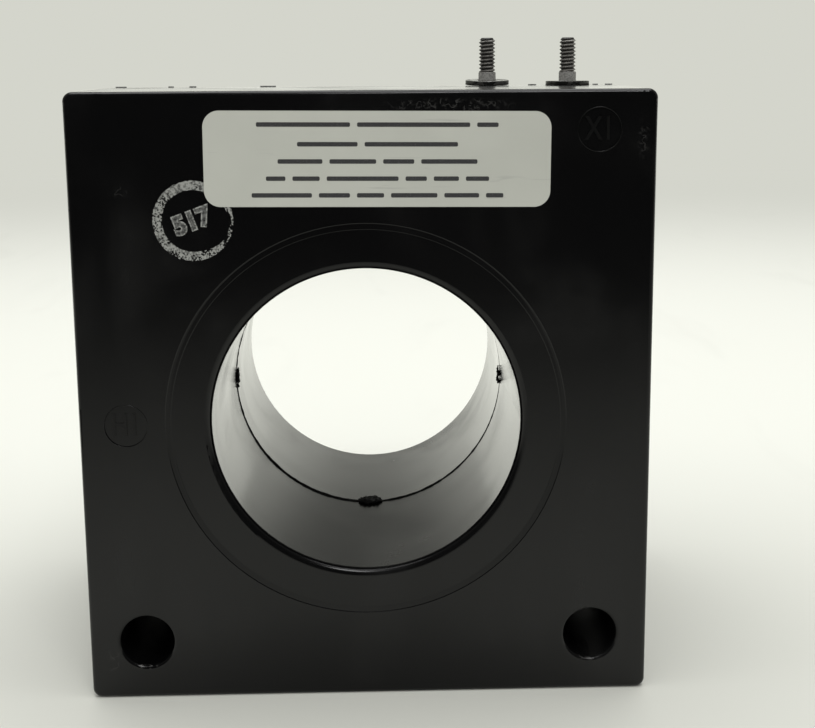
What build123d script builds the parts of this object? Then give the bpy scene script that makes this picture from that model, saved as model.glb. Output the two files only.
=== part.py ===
"""Window-type current transformer in a black moulded case, potted with resin.

X runs to the right, Y from the front face to the rear face and Z up, in millimetres.
The origin is the middle of the base, on the parting plane of the two case halves.
"""

import math
import os

from build123d import *

# Case, moulded as two deep halves that meet at the middle of its depth. Its width and height
# follow from the window, the coil and the room round the coil.
case_depth = 114.3
case_wall = 3.2
draft_angle = 0.66
corner_radius = 2.5
edge_radius = 1.3
inner_corner_radius = 1.5

# Window, with its own tube in each half
bore_diameter = 82.55
bore_wall = 3.2
bore_rim_radius = 2.0
seam_edge_radius = 1.0

# Shallow dish round the window in each face: a fine step at its rim, then a gentle slope
dish_width = 12.2
dish_depth = 0.32
dish_step_width = 0.22
dish_step_depth = 0.14
dish_slope_width = 1.5

# Tongue of the front half, in a groove of the rear half
tongue_width = 1.0
tongue_height = 1.6
tongue_clearance = 0.1

# Two mounting holes through the lower corners, each in a tube held by two webs
mount_hole_diameter = 14.3
mount_hole_from_side = 15.5
mount_hole_height = 16.1
mount_tube_wall = 3.0
mount_rim_radius = 1.0
web_thickness = 2.4
web_setback = 8.0

# Ribs in each half that centre the coil on the window tube and carry its ends
coil_rib_count = 4
coil_rib_thickness = 2.5
coil_end_gap = 6.0
coil_bore_clearance = 0.3

# Shallow round pads of the polarity marks in the front face. The input mark is level with the window.
mark_pad_diameter = 11.4
mark_pad_depth = 0.25
output_mark_from_side = 15.1
output_mark_from_top = 10.3
input_mark_from_side = 12.4

# Coil: strip core, pressboard, one layer of enamelled wire, outer tape
core_build = 14.0
tape_thickness = 0.8
wire_diameter = 1.8
turn_count = 80
pressboard_thickness = 1.2

# Room round the coil: to the window tube, the side walls, the base and the top wall
coil_bore_gap = 2.425
coil_side_gap = 4.5
coil_base_gap = 5.2
terminal_room = 15.7

# Terminal screws, set head down in the seam of the top wall
terminal_from_side = 15.7
terminal_spacing = 24.0
screw_diameter = 4.8
screw_projection = 14.0
screw_tip_chamfer = 0.7
shank_diameter = 5.12
shank_projection = 4.1
head_across_flats = 8.0
head_height = 3.2
screw_hole_clearance = 0.1

# Flat land under each outer washer, cut across the ridge of the parting line
land_diameter = 13.6
land_depth = 0.1
washer_diameter = 13.0
washer_thickness = 1.35
washer_hole_clearance = 0.15

# Ring lug of each terminal, with its barrel turned down towards the coil, and the sleeved
# end of the winding wire in it
lug_thickness = 1.0
lug_ring_diameter = 10.0
lug_barrel_diameter = 3.8
lug_barrel_length = 8.0
lug_barrel_floor = 2.5
sleeve_wall = 0.7

# Resin that came out of the seam: dabs in the window, by their angle from +X, and thin fins on the top
dab_angles = {"right": 0, "bottom": 90, "left": 180, "top": 270}
dab_diameter = 6.4
dab_height = 1.1
flash_thickness = 0.5
flash_height = 0.35
left_flash = [(4.3, 3.2), (19.0, 1.6), (25.4, 2.0), (47.6, 4.6)]
right_flash = [(26.2, 2.4), (7.3, 1.6), (3.3, 2.2)]

# Blank paper label
label_width = 89.4
label_height = 24.6
label_thickness = 0.12
label_corner_radius = 4.2
label_off_centre = 3.8
label_from_top = 17.5
label_tilt = -0.48

bore_radius = bore_diameter / 2
coil_bore_radius = bore_radius + bore_wall + coil_bore_gap
winding_bore_radius = coil_bore_radius + tape_thickness
board_bore_radius = winding_bore_radius + wire_diameter
core_bore_radius = board_bore_radius + pressboard_thickness
core_radius = core_bore_radius + core_build
board_radius = core_radius + pressboard_thickness
winding_radius = board_radius + wire_diameter
coil_radius = winding_radius + tape_thickness

case_width = 2 * (coil_radius + coil_side_gap + case_wall)
bore_height = case_wall + coil_base_gap + coil_radius
case_height = bore_height + coil_radius + terminal_room + case_wall

half_depth = case_depth / 2
draft_rise = half_depth * math.tan(math.radians(draft_angle))
seam_bore_radius = bore_radius - draft_rise
seam_width = case_width + 2 * draft_rise
seam_top = case_height + draft_rise
land_top = seam_top - land_depth
inner_top = seam_top - case_wall
dish_radius = bore_radius + dish_width

mount_hole_x = case_width / 2 - mount_hole_from_side
mount_tube_radius = mount_hole_diameter / 2 + mount_tube_wall
tape_length = case_depth - 2 * (case_wall + coil_end_gap)
winding_length = tape_length - 2 * tape_thickness
board_length = winding_length - 2 * wire_diameter
core_length = board_length - 2 * pressboard_thickness

barrel_y = -(lug_ring_diameter + lug_barrel_diameter) / 2
lug_reach = -barrel_y + lug_barrel_diameter / 2
lug_top = inner_top - lug_reach * math.tan(math.radians(draft_angle))
head_top = lug_top - lug_thickness
window_axis_point = Vector(0, barrel_y, bore_height)
right_terminal_x = case_width / 2 - terminal_from_side
terminals = {"left": right_terminal_x - terminal_spacing, "right": right_terminal_x}


def face_plane(y):
    """Upright plane at depth y, seen from the front: its own x and y are X and Z."""
    return Plane(origin=(0, y, 0), x_dir=(1, 0, 0), z_dir=(0, -1, 0))


def bore_axis_cylinder(radius, y_front, y_rear):
    """Solid cylinder on the axis of the window."""
    disc = face_plane(y_front) * Pos(0, bore_height) * Circle(radius)
    return extrude(disc, -(y_rear - y_front))


def bore_axis_cone(radius_front, y_front, radius_rear, y_rear):
    """Solid cone frustum on the axis of the window."""
    outline = Polyline((0, y_front), (radius_front, y_front), (radius_rear, y_rear), (0, y_rear), close=True)
    return Pos(0, 0, bore_height) * revolve(make_face(outline), Axis.Y)


def ring(radius, bore, length, y_middle=0.0):
    """Plain ring on the axis of the window."""
    y_front = y_middle - length / 2
    y_rear = y_middle + length / 2
    return bore_axis_cylinder(radius, y_front, y_rear) - bore_axis_cylinder(bore, y_front, y_rear)


def drafted_block(length, inset, radius):
    """Drafted block from the seam to the front, drawn in by inset. Its base is flat, without draft."""
    below_base = 2 * draft_rise
    outline = Rectangle(seam_width - 2 * inset, seam_top - 2 * inset + below_base)
    outline = face_plane(0) * Pos(0, (seam_top - below_base) / 2) * outline
    block = split(extrude(outline, length, taper=draft_angle), Plane.XY.offset(inset), Keep.TOP)
    along = block.edges().filter_by(lambda edge: abs((edge @ 1 - edge @ 0).Y) > length / 2)
    return fillet(along, radius)


def front_block():
    """Outside of the front half, with its rounded front edges."""
    block = drafted_block(half_depth, 0, corner_radius)
    return fillet(block.faces().sort_by(Axis.Y)[0].edges(), edge_radius)


def front_room():
    """Room inside the outer walls and floor of the front half."""
    return drafted_block(half_depth - case_wall, case_wall, inner_corner_radius)


def seam_outline(inset, radius):
    """Rounded outline of the case at the seam, drawn in by inset."""
    outline = RectangleRounded(seam_width - 2 * inset, seam_top - 2 * inset, radius)
    return face_plane(0) * Pos(0, seam_top / 2) * outline


def mount_tube(x):
    """One tube of a mounting hole in the front half, with a web to the side and one to the base."""
    disc = face_plane(0) * Pos(x, mount_hole_height) * Circle(mount_tube_radius)
    tube = extrude(disc, half_depth)
    web_length = half_depth - web_setback
    web_y = -half_depth + web_length / 2
    side_x = x + math.copysign(mount_hole_from_side / 2, x)
    side_web = Pos(side_x, web_y, mount_hole_height) * Box(mount_hole_from_side, web_length, web_thickness)
    base_web = Pos(x, web_y, mount_hole_height / 2) * Box(web_thickness, web_length, mount_hole_height)
    return tube + side_web + base_web


def coil_rib(angle):
    """One L-shaped rib: along the window tube up to the coil's bore, and out along the floor."""
    tube_top = coil_bore_radius - coil_bore_clearance
    floor_top = -half_depth + case_wall + coil_end_gap
    along_height = tube_top - seam_bore_radius
    along = Pos(seam_bore_radius + along_height / 2, -half_depth / 2, 0)
    along = along * Box(along_height, half_depth, coil_rib_thickness)
    out_length = coil_radius - bore_radius
    out_depth = floor_top + half_depth
    out = Pos(bore_radius + out_length / 2, -half_depth + out_depth / 2, 0)
    out = out * Box(out_length, out_depth, coil_rib_thickness)
    return Pos(0, 0, bore_height) * Rot(0, angle, 0) * (along + out)


def front_cavity():
    """Hollow of the front half: the room less the window tube, mounting tubes and ribs."""
    cavity = front_room()
    cavity -= bore_axis_cone(bore_radius + bore_wall, -half_depth, seam_bore_radius + bore_wall, 0)
    for side in (-1, 1):
        cavity -= mount_tube(side * mount_hole_x)
    step = 360 / coil_rib_count
    for index in range(coil_rib_count):
        cavity -= coil_rib((index + 0.5) * step)
    return cavity


def window_cut():
    """Drafted window of the front half, with a rounded rim and a rounded seam edge."""
    lip_angle = math.radians(90 + draft_angle) / 2
    rim_reach = bore_rim_radius / math.tan(lip_angle)
    seam_reach = seam_edge_radius / math.tan(math.radians(90 - draft_angle) / 2)
    face_y = -half_depth + dish_depth
    wall_start = Vector(bore_radius, -half_depth)
    slope = Vector(seam_bore_radius - bore_radius, half_depth).normalized()
    rim_corner = wall_start + slope * (dish_depth / slope.Y)
    seam_corner = Vector(seam_bore_radius, 0)
    rim_out = Vector(rim_corner.X + rim_reach, face_y)
    rim_in = rim_corner + slope * rim_reach
    seam_in = seam_corner - slope * seam_reach
    seam_out = Vector(seam_corner.X + seam_reach, 0)
    rim_arc = TangentArc(rim_in, rim_out, tangent=-slope)
    seam_arc = TangentArc(seam_in, seam_out, tangent=slope)
    profile = [
        Line((0, -half_depth), (rim_out.X, -half_depth)),
        Line((rim_out.X, -half_depth), rim_out),
        rim_arc,
        Line(rim_in, seam_in),
        seam_arc,
        Line(seam_out, (0, 0)),
        Line((0, 0), (0, -half_depth)),
    ]
    return Pos(0, 0, bore_height) * revolve(make_face(profile), Axis.Y)


def dish_cut():
    """Shallow dish in the front face, with a fine step at its rim and a gentle slope inside that."""
    face_y = -half_depth
    step_radius = dish_radius - dish_step_width
    step_y = face_y + dish_step_depth
    floor_radius = step_radius - dish_slope_width
    step = bore_axis_cone(dish_radius, face_y, step_radius, step_y)
    return step + bore_axis_cone(step_radius, step_y, floor_radius, face_y + dish_depth)


def mount_hole_cut(x):
    """Straight mounting hole of the front half, with a rounded rim."""
    radius = mount_hole_diameter / 2
    wide = radius + mount_rim_radius
    rim_y = -half_depth + mount_rim_radius
    profile = [
        Line((0, -half_depth), (wide, -half_depth)),
        RadiusArc((wide, -half_depth), (radius, rim_y), mount_rim_radius),
        Line((radius, rim_y), (radius, 0)),
        Line((radius, 0), (0, 0)),
        Line((0, 0), (0, -half_depth)),
    ]
    return Pos(x, 0, mount_hole_height) * revolve(make_face(profile), Axis.Y)


def screw_cuts():
    """Holes of the terminal screws through the top wall, and the flat lands of the washers."""
    cuts = []
    hole_radius = shank_diameter / 2 + screw_hole_clearance
    for x in terminals.values():
        hole_middle = (inner_top + seam_top) / 2
        cuts.append(Pos(x, 0, hole_middle) * Cylinder(hole_radius, 2 * case_wall))
        cuts.append(Pos(x, 0, land_top + land_depth) * Cylinder(land_diameter / 2, 2 * land_depth))
    return cuts


def tongue(clearance):
    """Tongue round the outer wall and the window tube, grown by clearance on every side."""
    half_width = tongue_width / 2 + clearance
    height = tongue_height + clearance
    middle = case_wall / 2
    wide = seam_outline(middle - half_width, corner_radius)
    narrow = seam_outline(middle + half_width, inner_corner_radius)
    wall_tongue = extrude(wide - narrow, -height)
    tube_middle = seam_bore_radius + (bore_wall + seam_edge_radius) / 2
    tube_tongue = ring(tube_middle + half_width, tube_middle - half_width, height, height / 2)
    return wall_tongue + tube_tongue


def mark_pads():
    """Shallow round pads of the two polarity marks, cut into the front face."""
    output_mark = (case_width / 2 - output_mark_from_side, case_height - output_mark_from_top)
    input_mark = (input_mark_from_side - case_width / 2, bore_height)
    pads = []
    for x, height in (output_mark, input_mark):
        disc = face_plane(-half_depth) * Pos(x, height) * Circle(mark_pad_diameter / 2)
        pads.append(extrude(disc, -mark_pad_depth))
    return pads


def case_half(cavity):
    """What both halves share: walls, window, dish, mounting holes and screw holes."""
    half = front_block() - cavity - window_cut() - dish_cut()
    for side in (-1, 1):
        half -= mount_hole_cut(side * mount_hole_x)
    for cut in screw_cuts():
        half -= cut
    return half


def front_case(cavity):
    """Front half, with its tongue and the pads of the polarity marks."""
    shell = case_half(cavity) + tongue(0)
    for cut in mark_pads() + screw_cuts():
        shell -= cut
    return shell


def rear_case(cavity):
    """Rear half, with the groove for the tongue."""
    return mirror(case_half(cavity), Plane.XZ) - tongue(tongue_clearance)


def core():
    """Wound strip core."""
    return ring(core_radius, core_bore_radius, core_length)


def pressboard_tube(outer, inner):
    """Pressboard tube beside the core, as long as the core."""
    return ring(outer, inner, core_length)


def pressboard_end(side):
    """Pressboard ring on one end of the core."""
    y_middle = side * (core_length + pressboard_thickness) / 2
    return ring(board_radius, board_bore_radius, pressboard_thickness, y_middle)


def flat_inside(radius):
    """How far a flat one wire wide can lie from the axis inside a cylinder of this radius."""
    return math.sqrt(radius**2 - (wire_diameter / 2) ** 2)


def upright_rectangle(x_low, x_high, height):
    """Rectangle between two distances from the axis, centred along the axis."""
    return Pos((x_low + x_high) / 2, 0) * Rectangle(x_high - x_low, height)


def winding():
    """Secondary winding. Each turn is drawn closed, without its small step to the next turn."""
    outer = upright_rectangle(winding_bore_radius, flat_inside(winding_radius), winding_length)
    inner = upright_rectangle(flat_inside(board_bore_radius), board_radius, board_length)
    turn = extrude(outer - inner, wire_diameter / 2, both=True)
    step = 360 / turn_count
    turns = [Pos(0, 0, bore_height) * Rot(0, index * step, 0) * turn for index in range(turn_count)]
    return Compound(children=turns)


def tape_envelope():
    """Outside of the taped coil as one ring."""
    return ring(coil_radius, coil_bore_radius, tape_length)


def tape():
    """Outer tape, a closed skin round the winding."""
    return tape_envelope() - ring(winding_radius, winding_bore_radius, winding_length)


def terminal_screw(x):
    """Terminal screw, thread up, with its hex head inside the case."""
    head = extrude(RegularPolygon(head_across_flats / 2, 6, major_radius=False), -head_height)
    head = Pos(x, 0, head_top) * head
    shank_top = land_top + shank_projection
    shank = Pos(x, 0, (head_top + shank_top) / 2) * Cylinder(shank_diameter / 2, shank_top - head_top)
    tip = land_top + screw_projection
    stem = Cylinder(screw_diameter / 2, tip - head_top)
    stem = chamfer(stem.edges().sort_by(Axis.Z)[-1], screw_tip_chamfer)
    stem = Pos(x, 0, (head_top + tip) / 2) * stem
    return head + shank + stem


def washer(x):
    """Flat washer on its land."""
    disc = Cylinder(washer_diameter / 2, washer_thickness)
    disc -= Cylinder(shank_diameter / 2 + washer_hole_clearance, washer_thickness)
    return Pos(x, 0, land_top + washer_thickness / 2) * disc


def lead_start(x):
    """Point in a lug's plate that its barrel and its lead run down from."""
    return Vector(x, barrel_y, head_top + lug_thickness / 2)


def along_lead(x, radius, start, end):
    """Straight round bar along a lead, between two distances from its start."""
    plane = Plane(origin=lead_start(x), z_dir=window_axis_point - lead_start(x))
    return plane * Pos(0, 0, start) * extrude(Circle(radius), end - start)


def lug(x):
    """Ring lug between the wall and the screw head, its barrel turned down towards the coil."""
    plate = Pos(x, 0) * Circle(lug_ring_diameter / 2)
    plate += Pos(x, barrel_y / 2) * Rectangle(lug_barrel_diameter, -barrel_y)
    plate += Pos(x, barrel_y) * Circle(lug_barrel_diameter / 2)
    plate -= Pos(x, 0) * Circle(shank_diameter / 2 + screw_hole_clearance)
    plate = Pos(0, 0, head_top) * extrude(plate, lug_thickness)
    barrel = along_lead(x, lug_barrel_diameter / 2, -lug_barrel_diameter, lug_barrel_length)
    barrel = split(barrel, Plane.XY.offset(lug_top), Keep.BOTTOM)
    return plate + barrel - along_lead(x, wire_diameter / 2, lug_barrel_floor, lug_barrel_length)


def lead_wire(x):
    """End of the winding wire, from the winding to the floor of the lug's barrel."""
    length = (window_axis_point - lead_start(x)).length
    bar = along_lead(x, wire_diameter / 2, lug_barrel_floor, length)
    return bar - bore_axis_cylinder(winding_radius, -half_depth, half_depth)


def lead_sleeve(x):
    """Sleeve over the wire between the coil's tape and the lug."""
    length = (window_axis_point - lead_start(x)).length
    bar = along_lead(x, wire_diameter / 2 + sleeve_wall, lug_barrel_length, length)
    bar -= along_lead(x, wire_diameter / 2, lug_barrel_length, length)
    return bar - bore_axis_cylinder(coil_radius, -half_depth, half_depth)


def resin_dab(angle, front, rear):
    """Rounded dab of resin over the seam in the window, down into its rounded edges."""
    ball_radius = ((dab_diameter / 2) ** 2 + dab_height**2) / (2 * dab_height)
    ball_middle = seam_bore_radius - dab_height + ball_radius
    ball = Pos(0, 0, bore_height) * Rot(0, angle, 0) * Pos(ball_middle, 0, 0) * Sphere(ball_radius)
    return (ball & bore_axis_cylinder(seam_bore_radius, -half_depth, half_depth)) - front - rear


def top_flash():
    """Thin fins of resin along the seam of the top."""
    places = [(from_side - case_width / 2, length) for from_side, length in left_flash]
    places += [(case_width / 2 - from_side, length) for from_side, length in right_flash]
    outline = Trapezoid(flash_thickness, flash_height, 60)
    fins = []
    for x, length in places:
        end = Plane(origin=(x - length / 2, 0, seam_top + flash_height / 2), x_dir=(0, 1, 0), z_dir=(1, 0, 0))
        fins.append(extrude(end * outline, length))
    return Compound(children=fins)


def label():
    """Blank paper label on the front face."""
    outline = RectangleRounded(label_width, label_height, label_corner_radius)
    outline = Pos(label_off_centre, case_height - label_from_top) * Rot(0, 0, label_tilt) * outline
    return extrude(face_plane(-half_depth) * outline, label_thickness)


def potting(cavity, filled_round):
    """Resin that fills both cavities round everything inside."""
    fill = cavity + mirror(cavity, Plane.XZ)
    for piece in filled_round:
        fill -= piece
    return fill


def build_nodes():
    """Every piece of the transformer by its node name."""
    cavity = front_cavity()
    nodes = {"front_case": front_case(cavity), "rear_case": rear_case(cavity)}
    nodes["strip_core"] = core()
    nodes["core_outer_board"] = pressboard_tube(board_radius, core_radius)
    nodes["core_inner_board"] = pressboard_tube(core_bore_radius, board_bore_radius)
    nodes["core_front_board"] = pressboard_end(-1)
    nodes["core_rear_board"] = pressboard_end(1)
    nodes["secondary_winding"] = winding()
    outer_tape = tape()
    inside = [tape_envelope()]
    for side, x in terminals.items():
        nodes[f"terminal_screw_{side}"] = terminal_screw(x)
        nodes[f"terminal_washer_{side}"] = washer(x)
        nodes[f"terminal_lug_{side}"] = lug(x)
        nodes[f"lead_wire_{side}"] = lead_wire(x)
        nodes[f"lead_sleeve_{side}"] = lead_sleeve(x)
        outer_tape -= nodes[f"lead_wire_{side}"]
        sealed = ("terminal_screw", "terminal_lug", "lead_wire", "lead_sleeve")
        inside += [nodes[f"{name}_{side}"] for name in sealed]
    nodes["coil_tape"] = outer_tape
    nodes["potting_resin"] = potting(cavity, inside)
    for side, angle in dab_angles.items():
        nodes[f"resin_dab_{side}"] = resin_dab(angle, nodes["front_case"], nodes["rear_case"])
    nodes["top_flash"] = top_flash()
    nodes["blank_label"] = label()
    return nodes


os.makedirs("parts", exist_ok=True)
for name, shape in build_nodes().items():
    export_step(shape, f"parts/{name}.step")
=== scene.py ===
"""Looks of the window-type current transformer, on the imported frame, in Blender.

Everything is in metres. X runs to the right, Y from the front face to the rear face and Z up.
"""

from __future__ import annotations

import logging
import math
from contextlib import contextmanager
from dataclasses import dataclass
from enum import Enum
from typing import ClassVar, Iterable, Iterator, Optional, Sequence, Union

import bpy
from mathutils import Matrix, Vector, noise


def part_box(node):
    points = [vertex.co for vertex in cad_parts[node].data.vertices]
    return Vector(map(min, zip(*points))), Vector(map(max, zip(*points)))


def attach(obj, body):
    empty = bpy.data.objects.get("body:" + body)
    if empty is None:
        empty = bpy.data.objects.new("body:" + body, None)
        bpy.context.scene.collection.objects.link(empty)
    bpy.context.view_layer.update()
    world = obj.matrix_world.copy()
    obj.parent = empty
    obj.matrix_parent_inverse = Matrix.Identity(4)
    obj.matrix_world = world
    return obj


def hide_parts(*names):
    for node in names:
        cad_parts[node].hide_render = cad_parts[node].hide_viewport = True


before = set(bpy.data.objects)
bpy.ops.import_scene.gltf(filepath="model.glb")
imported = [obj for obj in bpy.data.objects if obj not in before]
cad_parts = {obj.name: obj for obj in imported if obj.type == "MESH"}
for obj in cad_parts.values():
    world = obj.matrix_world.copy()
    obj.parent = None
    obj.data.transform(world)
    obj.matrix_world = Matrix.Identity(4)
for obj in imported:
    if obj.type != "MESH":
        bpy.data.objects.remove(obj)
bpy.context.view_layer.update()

logging.basicConfig(level=logging.INFO, format="%(message)s")
log = logging.getLogger("transformer")

Colour = tuple[float, float, float]
Point = tuple[float, float, float]
Pair = tuple[float, float]
Counts = tuple[int, int]
Socket = bpy.types.NodeSocket
Feed = Union[Socket, float, Point]

MM = 0.001
BLACK: Colour = (0.0, 0.0, 0.0)
WHITE: Colour = (1.0, 1.0, 1.0)
BARE_PLASTIC: Colour = (0.0024, 0.0024, 0.0026)

# Front face of the case, and height of the window's axis
FACE_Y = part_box("front_case")[0].y
WINDOW_HEIGHT = sum(corner.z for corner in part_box("strip_core")) / 2


class Side(Enum):
    """The two ends of the row of terminals, as seen from the front."""

    LEFT = "left"
    RIGHT = "right"


class Face(Enum):
    """The two faces of the case, with the sign of the turn round X from the top to them."""

    FRONT = 1
    REAR = -1


def radians(degrees: Iterable[float]) -> tuple[float, ...]:
    """Angles in radians."""
    return tuple(math.radians(angle) for angle in degrees)


def dim(colour: Colour, share: float) -> Colour:
    """A colour at a share of its brightness."""
    return tuple(part * share for part in colour)


# Shader nodes


class Nodes:
    """A node tree, built up socket by socket on one kind of coordinates."""

    def __init__(self, tree: bpy.types.NodeTree, coordinates: str) -> None:
        """Start an empty tree with its coordinates.

        Args:
            tree: Node tree of a material or of the world.
            coordinates: Name of the coordinates that patterns read.
        """
        self.tree = tree
        tree.nodes.clear()
        self.place = self.node("ShaderNodeTexCoord").outputs[coordinates]

    def node(self, kind: str, feeds: Optional[dict] = None, **settings: object) -> bpy.types.Node:
        """Add a node, set its properties and feed its inputs.

        Args:
            kind: Blender's type name of the node.
            feeds: What goes into its inputs, by their names or numbers.
            **settings: Properties to set on the node.

        Returns:
            The new node.
        """
        new = self.tree.nodes.new(kind)
        for key, value in settings.items():
            setattr(new, key, value)
        for key, value in (feeds or {}).items():
            self.feed(new.inputs[key], value)
        return new

    def feed(self, socket: Socket, value: Feed) -> None:
        """Link an output to an input, or set the input's own value.

        Args:
            socket: The input socket.
            value: An output socket, a number, a vector or a colour.
        """
        if isinstance(value, Socket):
            self.tree.links.new(value, socket)
        elif socket.type == "RGBA":
            socket.default_value = (*value, 1.0)
        else:
            socket.default_value = value

    def space(self, scale: Point = (1, 1, 1), turn: Point = (0, 0, 0), shift: Point = (0, 0, 0)) -> Socket:
        """The coordinates, scaled, turned and then shifted.

        Args:
            scale: Scale along the three axes.
            turn: Turn round the three axes, in degrees.
            shift: Shift along the three axes, in metres.

        Returns:
            The vector output.
        """
        feeds = {"Vector": self.place, "Scale": scale, "Rotation": radians(turn), "Location": shift}
        return self.node("ShaderNodeMapping", feeds).outputs["Vector"]

    def distance(self, scale: Point, shift: Point = (0, 0, 0)) -> Socket:
        """Length of the scaled and then shifted coordinates."""
        feeds = {0: self.space(scale=scale, shift=shift)}
        return self.node("ShaderNodeVectorMath", feeds, operation="LENGTH").outputs["Value"]

    def axes(self) -> bpy.types.NodeOutputs:
        """The coordinates X, Y and Z as outputs of their own."""
        return self.node("ShaderNodeSeparateXYZ", {0: self.place}).outputs

    def noise(
        self,
        scale: float,
        detail: float = 3.0,
        vector: Optional[Socket] = None,
        distortion: float = 0.0,
    ) -> Socket:
        """Noise between 0 and 1.

        Args:
            scale: Cells per metre.
            detail: Octaves of finer noise.
            vector: Where it is read, the plain coordinates if left out.
            distortion: How far the cells are swirled.

        Returns:
            The factor output.
        """
        feeds = {"Vector": vector or self.place, "Scale": scale, "Detail": detail, "Distortion": distortion}
        return self.node("ShaderNodeTexNoise", feeds).outputs[0]

    def cells(self, scale: float) -> bpy.types.NodeOutputs:
        """Voronoi cells, with the outputs Distance and Position, at a number of cells per metre."""
        return self.node("ShaderNodeTexVoronoi", {"Vector": self.place, "Scale": scale}).outputs

    def calc(self, operation: str, first: Feed, second: Feed = 0.0, clamp: bool = False) -> Socket:
        """One step of arithmetic.

        Args:
            operation: Blender's name of the operation.
            first: First operand.
            second: Second operand.
            clamp: Whether the result is held between 0 and 1.

        Returns:
            The value output.
        """
        feeds = {0: first, 1: second}
        return self.node("ShaderNodeMath", feeds, operation=operation, use_clamp=clamp).outputs[0]

    def times(self, first: Feed, second: Feed) -> Socket:
        """Product of two values."""
        return self.calc("MULTIPLY", first, second)

    def plus(self, first: Feed, second: Feed, clamp: bool = False) -> Socket:
        """Sum of two values, held between 0 and 1 where clamp is set."""
        return self.calc("ADD", first, second, clamp)

    def larger(self, first: Feed, second: Feed) -> Socket:
        """The larger of two values."""
        return self.calc("MAXIMUM", first, second)

    def remap(
        self, value: Feed, low: float, high: float, to_low: float = 0.0, to_high: float = 1.0
    ) -> Socket:
        """Smooth step of a value from one range to another.

        Args:
            value: The value that is read.
            low: Where the step starts.
            high: Where it ends.
            to_low: Result at and before low.
            to_high: Result at and after high.

        Returns:
            The result output.
        """
        feeds = {"Value": value, "From Min": low, "From Max": high, "To Min": to_low, "To Max": to_high}
        return self.node("ShaderNodeMapRange", feeds, interpolation_type="SMOOTHSTEP").outputs["Result"]

    def blend(self, factor: Feed, first: Feed, second: Feed) -> Socket:
        """Mix of two colours.

        Args:
            factor: Share of the second colour.
            first: First colour.
            second: Second colour.

        Returns:
            The colour output.
        """
        feeds = {0: factor, 6: first, 7: second}
        return self.node("ShaderNodeMix", feeds, data_type="RGBA").outputs[2]

    def spot(self, middle: Point, reach: Point, soft: float) -> Socket:
        """Soft ellipsoid mask round one place.

        Args:
            middle: Middle of the place, in metres.
            reach: Half sizes along the axes, in metres.
            soft: Share of the reach over which the mask fades.

        Returns:
            A value of 1 inside and 0 outside.
        """
        scale = tuple(1 / size for size in reach)
        shift = tuple(-place / size for place, size in zip(middle, reach))
        return self.remap(self.distance(scale, shift), 1 - soft, 1.0, 1.0, 0.0)


class Graph(Nodes):
    """Nodes of one material, on Object coordinates, with one Principled shader."""

    def __init__(self, name: str) -> None:
        """Start a material.

        Args:
            name: Name of the material.
        """
        self.material = bpy.data.materials.new(name)
        self.material.use_nodes = True
        super().__init__(self.material.node_tree, "Object")
        self.shader = self.node("ShaderNodeBsdfPrincipled")
        self.node("ShaderNodeOutputMaterial", {"Surface": self.shader.outputs["BSDF"]})

    def set(self, name: str, value: Feed) -> None:
        """Feed one input of the Principled shader by its name."""
        self.feed(self.shader.inputs[name], value)

    def relief(self, height: Feed, depth: float, strength: float) -> None:
        """Bump the surface.

        Args:
            height: Height between 0 and 1.
            depth: Height of 1 in metres.
            strength: Strength of the bump.
        """
        bump = self.node("ShaderNodeBump", {"Strength": strength, "Distance": depth, "Height": height})
        self.set("Normal", bump.outputs["Normal"])


class Sky(Nodes):
    """Nodes of the scene's world, on the direction of each ray."""

    def __init__(self) -> None:
        """Start the world."""
        world = bpy.data.worlds.new("world")
        world.use_nodes = True
        bpy.context.scene.world = world
        super().__init__(world.node_tree, "Generated")

    def background(self, colour: Colour, strength: Feed) -> Socket:
        """Light of one colour from all round."""
        return self.node("ShaderNodeBackground", {"Color": colour, "Strength": strength}).outputs[0]

    def choose(self, factor: Socket, first: Socket, second: Socket) -> Socket:
        """The first light where the factor is 0, and the second where it is 1."""
        return self.node("ShaderNodeMixShader", {0: factor, 1: first, 2: second}).outputs[0]


# Finishes


@dataclass(frozen=True)
class Finish:
    """A finish whose material is built once and then shared."""

    built: ClassVar[dict[Finish, bpy.types.Material]] = {}
    name: str

    def paint(self, graph: Graph) -> None:
        """Build the nodes, in each kind of finish."""
        raise NotImplementedError

    def material(self) -> bpy.types.Material:
        """Material of this finish, built at its first use.

        Returns:
            The material.
        """
        if self not in Finish.built:
            graph = Graph(self.name)
            self.paint(graph)
            Finish.built[self] = graph.material
        return Finish.built[self]

    def dress(self, piece: bpy.types.Object) -> None:
        """Put the finish on every material slot of a piece.

        Args:
            piece: CAD node or new piece.
        """
        if not piece.material_slots:
            piece.data.materials.append(self.material())
        for slot in piece.material_slots:
            slot.material = self.material()


@dataclass(frozen=True)
class Scuff:
    """A lightly scuffed place on the case, with its half sizes in metres."""

    middle: Point
    reach: Point
    strength: float
    soft: ClassVar[float] = 0.8


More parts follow.
